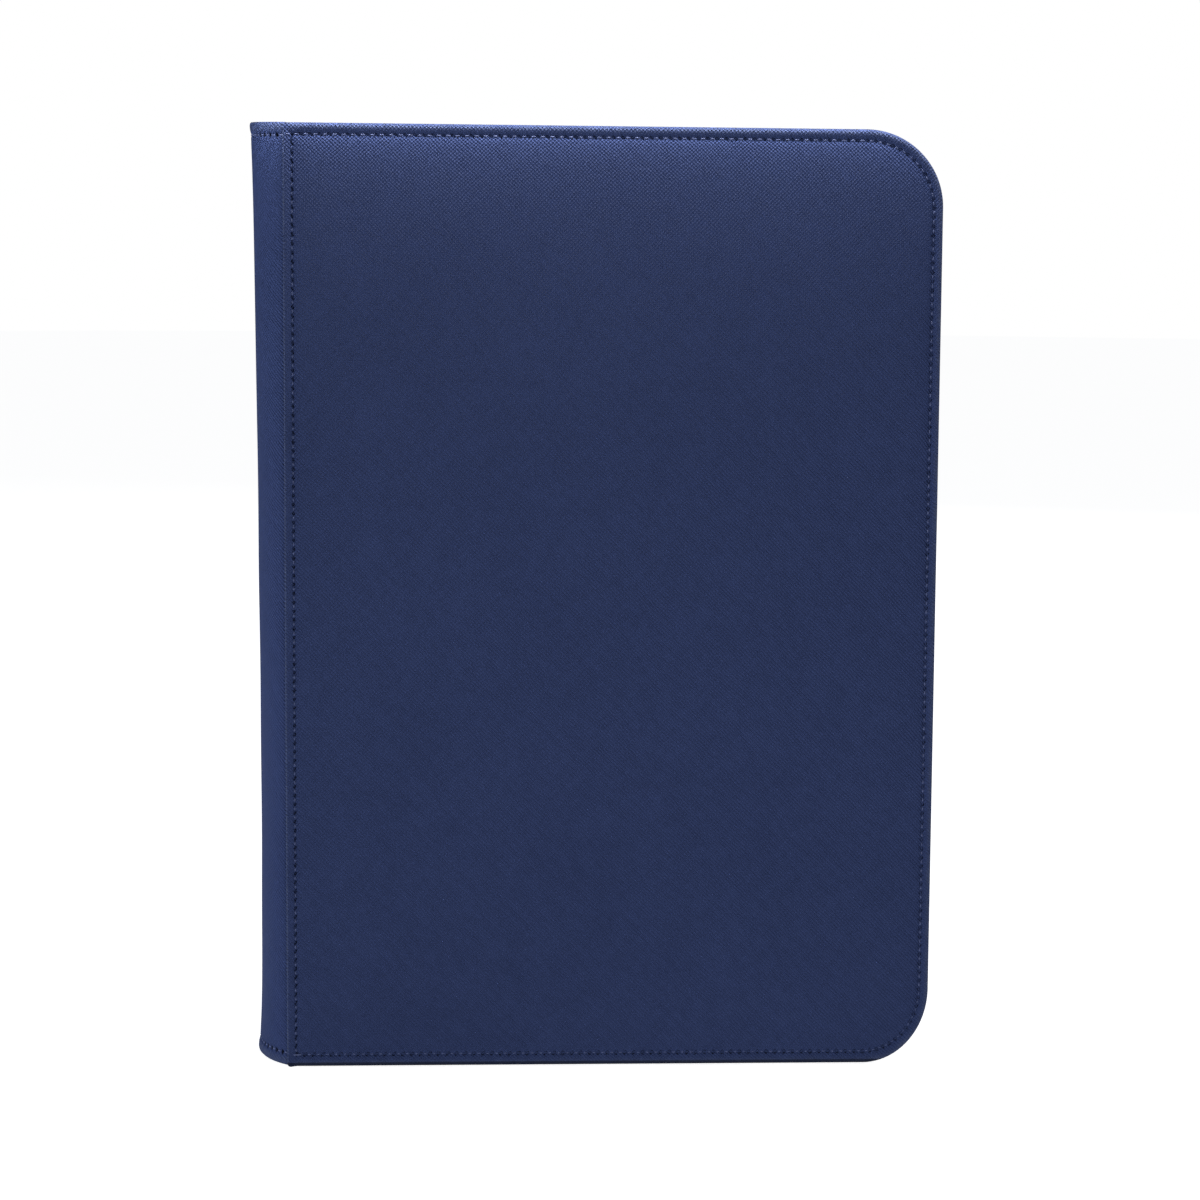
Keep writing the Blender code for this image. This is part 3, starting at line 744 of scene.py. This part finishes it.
def spine_turns():
    """Angles round the strip's half-oval, from the front fold to the back, evenly spaced."""
    reach = spine_bulge(HEIGHT / 2) + SPINE_ROOT
    limit = math.acos((SPINE_ROOT - SPINE_TUCK) / reach)
    fine = np.linspace(-limit, limit, 400)
    steps = np.hypot(np.diff(reach * np.cos(fine)), np.diff(SPINE_HALF_WIDTH * np.sin(fine)))
    length = np.concatenate([[0], np.cumsum(steps)])
    places = np.append(stitch_places(SPINE_HEM_STITCHES), 1)
    return np.interp(places * length[-1], length, fine) / limit


def spine_point(turn, z, out):
    """Points on the strip at turn -1..1 and height z, moved out along its normal."""
    reach = spine_bulge(z) + SPINE_ROOT
    angle = turn * np.arccos((SPINE_ROOT - SPINE_TUCK) / reach)
    normal_x, normal_y = -np.cos(angle) * SPINE_HALF_WIDTH, np.sin(angle) * reach
    size = np.hypot(normal_x, normal_y)
    x = SEAM_X + SPINE_ROOT - reach * np.cos(angle) + out * normal_x / size
    y = SPINE_HALF_WIDTH * np.sin(angle) + out * normal_y / size
    return np.stack(np.broadcast_arrays(x, y, z), -1)


HEM_PROFILE = (
    (8.0, -0.9), (1.4, -1.2), (0.3, -1.1), (-0.02, -0.7), (0.02, -0.3), (0.35, 0.05),
    (1.1, 0.24), (2.3, 0.22), (3.5, 0.04), (4.3, -0.2), (4.6, -0.28), (4.9, -0.2),
    (5.6, -0.03), (7.5, 0.0))
HEM_GROOVE = 10              # the profile point that the stitches run along


def make_spine():
    """The spine's leather strip: a bowed shell with a stitched hem at each end."""
    turns = spine_turns()
    hem = np.array(HEM_PROFILE)
    middle = np.linspace(14, HEIGHT - 14, 56)
    inside = np.linspace(HEIGHT - 30, 30, 6)
    droop = np.cos(turns * math.pi / 2) ** 0.8
    low_edge = 0.3 + SPINE_BOTTOM_ARCH * droop
    high_edge = HEIGHT + 0.1 - SPINE_TOP_ARCH * droop
    rows = [(low_edge + up, out) for up, out in hem]
    rows += [(np.full(len(turns), z), 0.0) for z in middle]
    rows += [(high_edge - up, out) for up, out in hem[::-1]]
    rows += [(np.full(len(turns), z), -SPINE_LEATHER) for z in inside]
    beside_hole = np.append(row_distances(SPINE_HEM_STITCHES), 0)
    # Painted shadow on the strip next to each cover's fold, where it runs in under it
    fold_shadow = 0.42 * smooth_step((abs(turns) - 0.955) / 0.03)
    grid, dark, wear_and_highlight = [], [], []
    for number, (z, out) in enumerate(rows):
        on_hem = number if number < len(hem) else 2 * len(hem) + len(middle) - 1 - number
        # Each hem hole sinks the leather and is also painted with shade, through the dark
        # attribute
        dip = hole_share(beside_hole, abs(on_hem - HEM_GROOVE) * 0.3)
        outer = len(hem) - 4 <= number < len(hem) * 2 + len(middle) - 4
        sag = unevenness(turns * 25, z, 45, 5.5) * (SPINE_SAG if outer else 0)
        sag = sag * np.cos(turns * math.pi / 2)
        grid.append(spine_point(turns, z, out - 0.4 * dip + sag))
        dark.append(np.maximum(dip, fold_shadow))
        # The hem's crest rows get the lighter colour: partly rubbed wear, partly a painted
        # highlight
        wear_and_highlight.append(np.full(len(turns), 1.0 if on_hem in (5, 6, 7) else 0.0))
    points = np.array(grid)
    count = len(turns)
    faces = grid_faces(len(rows), count, wrap_rows=True)
    faces += [[row * count for row in range(len(rows))]]
    faces += [[row * count + count - 1 for row in range(len(rows))]]
    spine = add_piece("spine_leather", points.reshape(-1, 3), faces, SPINE_MATERIAL, "spine")
    store(spine, "dark", np.concatenate(dark))
    store(spine, "wear_and_highlight", np.concatenate(wear_and_highlight))
    level = points[len(hem) + len(middle) // 2]
    around = np.concatenate([[0], np.cumsum(np.linalg.norm(np.diff(level, axis=0), axis=1))])
    store(spine, "around", np.tile(around, len(rows)))
    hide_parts("spine_skin")
    grooves = (HEM_GROOVE, 2 * len(hem) + len(middle) - 1 - HEM_GROOVE)
    make_spine_stitching([(rows[row][0], points[row]) for row in grooves], turns, beside_hole)


def make_spine_stitching(hem_rows, turns, beside_hole):
    """The thread along both hems: hem_rows holds each row's height and its points."""
    parts = []
    for z, row_points in hem_rows:
        out = (spine_point(turns, z, 1.0) - spine_point(turns, z, 0.0))[beside_hole == 0]
        parts += stitch_line(row_points[beside_hole == 0] + out * 0.4, out, 0.1, 0.45)
    points, faces = joined(parts)
    add_piece("spine_stitching", points, faces, THREAD, "spine")


def make_spine_foam():
    """The padding behind the strip, flat on its inner side."""
    turns = np.linspace(-0.93, 0.93, 33)
    back = SEAM_X - 1.5
    rings = []
    for z in np.linspace(5, HEIGHT - 5, 40):
        ring = spine_point(turns, z, -1.8)
        ring = ring[ring[:, 0] < back - 0.2]
        bow = resampled(ring, 30)
        rings.append(np.vstack([bow, [[back, bow[-1, 1], z], [back, bow[0, 1], z]]]))
    count = len(rings[0])
    points = np.vstack(rings)
    faces = grid_faces(len(rings), count, wrap_columns=True)
    faces += loop_face(0, count) + loop_face(len(points) - count, count)
    foam = add_piece("spine_foam", points, faces, FOAM, "spine")
    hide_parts("spine_padding")


def resampled(line, count):
    """A polyline with evenly spaced points."""
    steps = np.linalg.norm(np.diff(line, axis=0), axis=1)
    length = np.concatenate([[0], np.cumsum(steps)])
    places = np.linspace(0, length[-1], count)
    return np.stack([np.interp(places, length, line[:, axis]) for axis in range(3)], 1)


def bent_strip(section, thickness, low, high, rows):
    """A thin strip along Z whose section is a line (x, level), as points and faces."""
    section = np.asarray(section, float)
    along = np.gradient(section, axis=0)
    along /= np.linalg.norm(along, axis=1)[:, None]
    across = np.stack([-along[:, 1], along[:, 0]], 1) * thickness / 2
    loop = np.vstack([section + across, (section - across)[::-1]])
    count = len(loop)
    rings = [np.column_stack([loop[:, 0], loop[:, 1], np.full(count, z)])
             for z in np.linspace(low, high, rows)]
    faces = grid_faces(rows, count, wrap_columns=True)
    return np.vstack(rings), faces + loop_face(0, count) + loop_face((rows - 1) * count, count)


def make_hinge_cloth(side):
    """The leather flap and the lining, curved where a cover joins the spine."""
    name = side_name(side)
    reach = spine_bulge(HEIGHT / 2) + SPINE_ROOT
    xs = np.linspace(-3.4, 0.9, 12)
    oval = SPINE_HALF_WIDTH * np.sqrt(1 - ((SPINE_ROOT - xs) / reach) ** 2)
    section = np.column_stack([SEAM_X + xs, oval - 1.5])
    points, faces = bent_strip(section, 0.4, 4, HEIGHT - 4, 30)
    points[:, 1] *= side
    flap = add_piece(name + "_seam_flap", points, faces, LEATHER, None)
    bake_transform(flap)
    corner = [(7.5, 19.85), (5.5, 19.85), (3.5, 19.85), (2.0, 19.85), (1.0, 19.78),
              (0.3, 19.55), (-0.15, 19.15), (-0.38, 18.7), (-0.42, 18.3)]
    section = curve_through([(SEAM_X + x, level) for x, level in corner], 3)
    points, faces = bent_strip(section, 0.25, 13, HEIGHT - 13, 30)
    points[:, 1] *= side
    gutter = add_piece(name + "_gutter_lining", points, faces, LINING, None)
    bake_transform(gutter)


# Zip

COIL_PITCH = 1.55
COIL_HALF_DEPTH = 1.1        # of the CAD coil, square to its tape
COIL_END_GAP = 0.3           # how far short of the CAD coil's end the wire starts
COIL_LEVEL, COIL_REACH = 1.25, 1.5   # the spiral's middle, and how far it reaches either side
COIL_RISE = 0.82
WIRE_RADIUS = 0.24
TURN_STEPS = 10


def zip_run(start, radius, spacing):
    """Places along the zip: (x, z), the outward direction (x, z) and the distance run."""
    top, side_run = FORE_X - CORNER_RADIUS - SEAM_X - start, HEIGHT - 2 * CORNER_RADIUS
    quarter = math.pi / 2 * radius
    total = 2 * top + side_run + 2 * quarter
    run = np.linspace(0, total, int(round(total / spacing)) + 1)
    first_corner = np.clip((run - top) / quarter, 0, 1)
    second_corner = np.clip((run - top - quarter - side_run) / quarter, 0, 1)
    turn = np.radians(90 - 90 * (first_corner + second_corner))
    across = np.stack([np.cos(turn), np.sin(turn)], 1)
    first = np.clip(run, 0, top)
    down = np.clip(run - top - quarter, 0, side_run)
    back = np.clip(run - top - 2 * quarter - side_run, 0, top)
    centre = np.stack([SEAM_X + start + first - back, HEIGHT - CORNER_RADIUS - down], 1)
    return centre + across * radius, across, run


def make_coil(side):
    """One half of the zip's spiral, whose heads pass between the other half's."""
    name = side_name(side)
    low, high = node_box(name + "_zip_coil")
    recess = FORE_X - (high[0] - COIL_HALF_DEPTH)
    start = low[0] - SEAM_X + COIL_END_GAP
    place, across, run = zip_run(start, CORNER_RADIUS - recess, COIL_PITCH / TURN_STEPS)
    turn = run / COIL_PITCH * 2 * math.pi + (0 if side == FRONT else math.pi)
    level = COIL_LEVEL - COIL_REACH * np.cos(turn)
    height = COIL_RISE * np.sin(turn)
    flat = place + across * height[:, None]
    centres = np.column_stack([flat[:, 0], side * level, flat[:, 1]])
    points, faces = tube(centres, WIRE_RADIUS, TUBE_SIDES, np.array([0.02, 1.0, 0.03]))
    coil = add_piece(name + "_coil", points, faces, COIL, name + "_cover")
    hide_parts(name + "_zip_coil")


# Leaves

LEAF_MARGIN, LEAF_RIM = 9.0, 1.0     # outside the pockets, at the spine and at the other sides
MARGIN_WELD = 4.5
LEAF_CORNER = 3.0


def leaf_lines(start, end, opening):
    """Grid lines across one pocket, close together at its welds and its opening."""
    width = end - start
    near = [0, 0.9, 1.5, 4.0, 4.15, 9] if opening else [0, 0.9, 1.5, 4, 9]
    far = [width - 9, width - 4, width - 1.5, width - 0.9]
    inner = np.linspace(near[-1], far[0], 5)[1:-1].tolist()
    return [start + step for step in near + inner + far]


def pocket_rise(place, lines):
    """0 at the welds and 1 well inside the pockets."""
    gap = np.min(np.abs(place[:, None] - np.asarray(lines)[None, :]), axis=1)
    return smooth_step((gap - 0.9) / 9)


def make_leaf(number):
    """A leaf of nine pockets on each side of a dark core, open towards the spine."""
    node = f"leaf_{number:02d}"
    low, high = node_box(node)
    columns = np.linspace(low[0] + LEAF_MARGIN, high[0] - LEAF_RIM, 4)
    bands = np.linspace(low[2] + LEAF_RIM, high[2] - LEAF_RIM, 4)
    xs = [low[0], low[0] + 0.6, low[0] + MARGIN_WELD]
    for start, end in zip(columns[:-1], columns[1:]):
        xs += leaf_lines(start, end, True)
    xs += [columns[-1], high[0]]
    zs = [low[2]]
    for start, end in zip(bands[:-1], bands[1:]):
        zs += leaf_lines(start, end, False)
    zs += [bands[-1], high[2]]
    xs, zs = np.array(xs), np.array(zs)
    x, z = np.meshgrid(xs, zs)
    x, z = x.ravel(), z.ravel()
    weld_x = np.append(columns, low[0] + MARGIN_WELD)
    rise = pocket_rise(x, weld_x) * pocket_rise(z, bands)
    into = x[:, None] - columns[None, :-1]
    closed = ~np.any((into > 0.95) & (into < 4.1), axis=1)
    film = np.where(closed & (x > columns[0]), 0.1, 0.0)
    beside_column = np.min(np.abs(x[:, None] - columns), axis=1)
    beside_band = np.min(np.abs(z[:, None] - bands), axis=1)
    weld = np.minimum(beside_column, beside_band) < 1
    swell = 0.26 + 0.1 * unevenness(x, z, 40, number * 1.7)
    level = 0.14 + np.where(weld, 0.02, film) + swell * rise * closed
    drop = np.maximum(0, LEAF_CORNER - np.minimum(z - low[2], high[2] - z))
    limit = high[0] - LEAF_CORNER + np.sqrt(np.maximum(LEAF_CORNER ** 2 - drop ** 2, 0))
    x = np.where(x > columns[-1] - 2, np.minimum(x, limit), x)
    middle = (low[1] + high[1]) / 2
    front = np.column_stack([x, middle - level, z])
    back = np.column_stack([x, middle + level, z])
    count = len(x)
    faces = grid_faces(len(zs), len(xs))
    faces += [[index + count for index in face[::-1]] for face in faces]
    across = np.arange(len(xs))
    up = np.arange(len(zs)) * len(xs)
    rim_loop = np.concatenate([across, up[1:] + len(xs) - 1, (up[-1] + across[:-1])[::-1],
                               up[1:-1][::-1]])
    after = np.roll(rim_loop, -1)
    faces += np.stack([rim_loop, rim_loop + count, after + count, after], 1).tolist()
    leaf = add_piece(f"pocket_leaf_{number:02d}", np.vstack([front, back]), faces, FILM, node)
    store(leaf, "weld", np.concatenate([weld, weld]).astype(float))
    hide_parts(node)


def finish_cad_nodes():
    """Materials for the CAD pieces that stay as they are."""
    materials = {"foam_pad": FOAM, "board": BOARD, "lining": LINING, "zip_tape": TAPE,
                 "stop": METAL, "zip_slider": METAL, "zip_pull": METAL, "binding_strip": STRIP}
    for name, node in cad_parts.items():
        for ending, material in materials.items():
            if name.endswith(ending):
                node.data.materials.clear()
                node.data.materials.append(material)


# Studio

CAMERA_DISTANCE = 1.2        # metres, from the front cover's centre
CAMERA_YAW, CAMERA_PITCH, CAMERA_ROLL = (math.radians(angle) for angle in (2.92, 7.23, 0.39))
CAMERA_SHIFT = (-0.0044, 0.0012)   # metres, across and up
CAMERA_LENS = 98.9

# Area lights in metres and watts: name, place, target, size, power and colour

WHITE, COOL = (1, 1, 1), (0.8, 0.88, 1)
LIGHTS = (
    ("top_strip", (0.012, -0.028, 0.357), (0.012, -0.0265, 0.3), (0.3, 0.004), 0.15, WHITE),
    ("top_wide", (0.012, -0.045, 0.445), (0.012, -0.03, 0.3), (0.36, 0.02), 0.26, WHITE),
    ("front_fill", (0.02, -0.6, 0.12), (0.01, 0, 0.13), (0.6, 0.3), 2.12, WHITE),
    ("left_fill", (-0.9, 0.0, 0.03), (0, 0, 0.17), (0.5, 0.5), 9.4, COOL),
    ("right_fill", (1.3, 0.12, 0.5), (0, 0, 0.17), (0.6, 0.8), 5.0, COOL),
    ("back_fill", (0.5, 1.6, 1.0), (0, 0, 0.15), (1.2, 1.2), 5, WHITE))
WORLD_LIGHT = 0.13           # the white surroundings light the scene less than they show
FLOOR_LIGHT, FLOOR_SEEN = 0.26, 0.87   # and so does the floor
FLOOR_RADIUS = 6.0           # metres


def make_camera():
    """A long lens a little to the left of the front cover and above its middle."""
    yaw, pitch, roll = CAMERA_YAW, CAMERA_PITCH, CAMERA_ROLL
    ahead = Vector((math.sin(yaw) * math.cos(pitch), math.cos(yaw) * math.cos(pitch),
                    -math.sin(pitch)))
    right = Vector((math.cos(yaw), -math.sin(yaw), 0))
    up = right.cross(ahead)
    centre = Vector(((SEAM_X + FORE_X) / 2, -FACE_LEVEL, HEIGHT / 2)) * MM
    place = centre - ahead * CAMERA_DISTANCE + right * CAMERA_SHIFT[0] + up * CAMERA_SHIFT[1]
    tilted = right * math.cos(roll) + up * math.sin(roll)
    upright = up * math.cos(roll) - right * math.sin(roll)
    data = bpy.data.cameras.new("camera")
    data.lens = CAMERA_LENS
    data.sensor_width = 36
    data.clip_start, data.clip_end = 0.01, 100
    camera = bpy.data.objects.new("camera", data)
    camera.matrix_world = Matrix((
        (tilted.x, upright.x, -ahead.x, place.x),
        (tilted.y, upright.y, -ahead.y, place.y),
        (tilted.z, upright.z, -ahead.z, place.z),
        (0, 0, 0, 1)))
    bpy.context.scene.collection.objects.link(camera)
    bpy.context.scene.camera = camera


def add_area_light(name, place, target, size, watts, colour):
    """A soft rectangular light in metres that faces a target."""
    data = bpy.data.lights.new(name, "AREA")
    data.shape = "RECTANGLE"
    data.size, data.size_y = size
    data.energy = watts
    data.color = colour
    light = bpy.data.objects.new(name, data)
    light.location = place
    light.visible_camera = False
    light.rotation_euler = (Vector(target) - Vector(place)).to_track_quat("-Z", "Y").to_euler()
    bpy.context.scene.collection.objects.link(light)


def make_floor():
    """A wide, near-white floor."""
    shader = Shader("floor_paper", roughness=0.9, specular=0.1)
    shader.surface.inputs["Emission Color"].default_value = (1, 1, 1, 1)
    rays = shader.tree.nodes.new("ShaderNodeLightPath").outputs["Is Camera Ray"]
    glow = shader.math("MULTIPLY_ADD", rays, FLOOR_SEEN - FLOOR_LIGHT, FLOOR_LIGHT)
    shader.feed(shader.surface.inputs["Emission Strength"], glow)
    grain = shader.noise(0.02, 2.0)
    colour = shader.mix(grain, (0.86, 0.86, 0.86, 1), (0.9, 0.9, 0.9, 1))
    mesh = bpy.data.meshes.new("floor")
    turns = np.arange(48) * 2 * math.pi / 48
    rim = [(FLOOR_RADIUS * math.cos(t), FLOOR_RADIUS * math.sin(t), -0.0005) for t in turns]
    mesh.from_pydata(rim, [], loop_face(0, len(rim)))
    mesh.materials.append(shader.finish(colour))
    floor = bpy.data.objects.new("floor", mesh)
    bpy.context.scene.collection.objects.link(floor)


def make_studio():
    """White surroundings, a floor and the area lights."""
    world = bpy.data.worlds.new("studio")
    bpy.context.scene.world = world
    world.use_nodes = True
    tree = world.node_tree
    seen = tree.nodes["Background"]
    seen.inputs["Color"].default_value = (1, 1, 1, 1)
    seen.inputs["Strength"].default_value = 1.0
    felt = tree.nodes.new("ShaderNodeBackground")
    felt.inputs["Color"].default_value = (0.92, 0.95, 1, 1)
    felt.inputs["Strength"].default_value = WORLD_LIGHT
    rays = tree.nodes.new("ShaderNodeLightPath")
    chosen = tree.nodes.new("ShaderNodeMixShader")
    tree.links.new(rays.outputs["Is Camera Ray"], chosen.inputs["Fac"])
    tree.links.new(felt.outputs[0], chosen.inputs[1])
    tree.links.new(seen.outputs[0], chosen.inputs[2])
    tree.links.new(chosen.outputs[0], tree.nodes["World Output"].inputs["Surface"])
    for name, place, target, size, watts, colour in LIGHTS:
        add_area_light(name, place, target, size, watts, colour)
    make_floor()
    bpy.context.scene.view_settings.view_transform = "Standard"


make_camera()
make_studio()
for cover_side in (FRONT, BACK):
    make_cover_stitching(cover_side, make_cover(cover_side))
    make_hinge_cloth(cover_side)
    make_coil(cover_side)
make_spine()
make_spine_foam()
for leaf_number in range(1, LEAF_COUNT + 1):
    make_leaf(leaf_number)
finish_cad_nodes()
